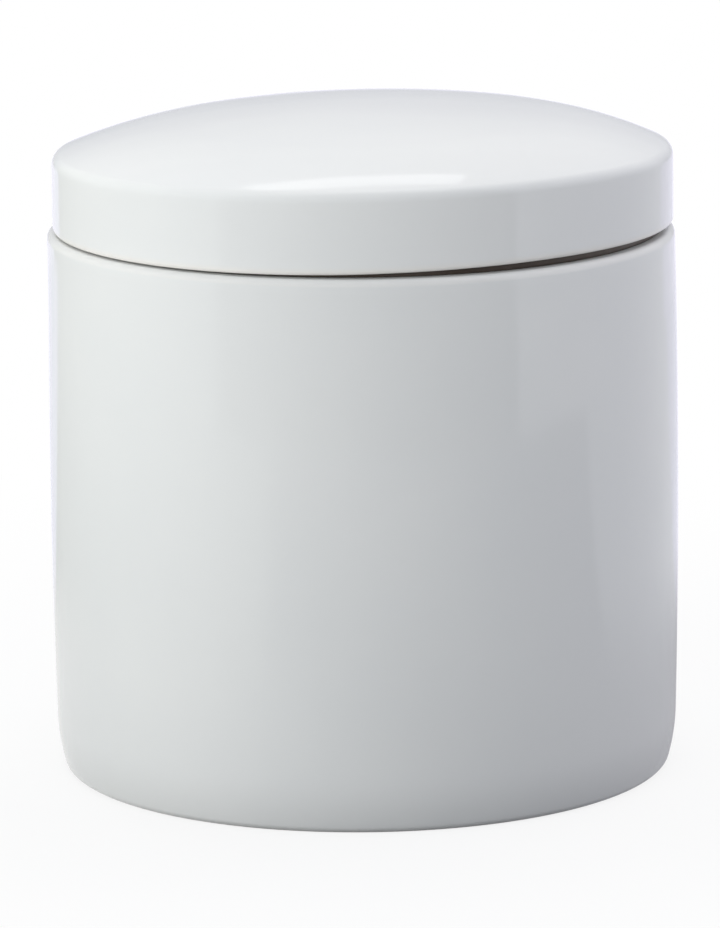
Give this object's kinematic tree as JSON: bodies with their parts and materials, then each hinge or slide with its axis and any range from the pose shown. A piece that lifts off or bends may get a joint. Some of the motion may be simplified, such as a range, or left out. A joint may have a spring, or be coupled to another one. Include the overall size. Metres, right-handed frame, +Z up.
{
  "type": "lidded canister",
  "caption": "Round white glazed porcelain kitchen canister with a barrelled jar and a low domed lift-off lid, centred and seated in the mouth by a silicone ring.",
  "frame": {"origin": "middle of the foot ring, on the surface that the jar stands on", "axes": "+Z up along the axis of the jar and the lid; the ware is round, so +X and +Y are free"},
  "size_m": [0.1212, 0.1212, 0.129],
  "materials": {
    "white_glaze": "gloss white glaze over porcelain",
    "silicone": "satin smoke-brown silicone"
  },
  "bodies": {
    "jar": {"jar": "white_glaze"},
    "lid": {"lid": "white_glaze", "seal_ring": "silicone"}
  },
  "joints": [
    {"name": "lid_lift", "type": "slide", "parent": "jar", "child": "lid", "axis": [0, 0, 1], "range_m": [0, 0.04]}
  ]
}
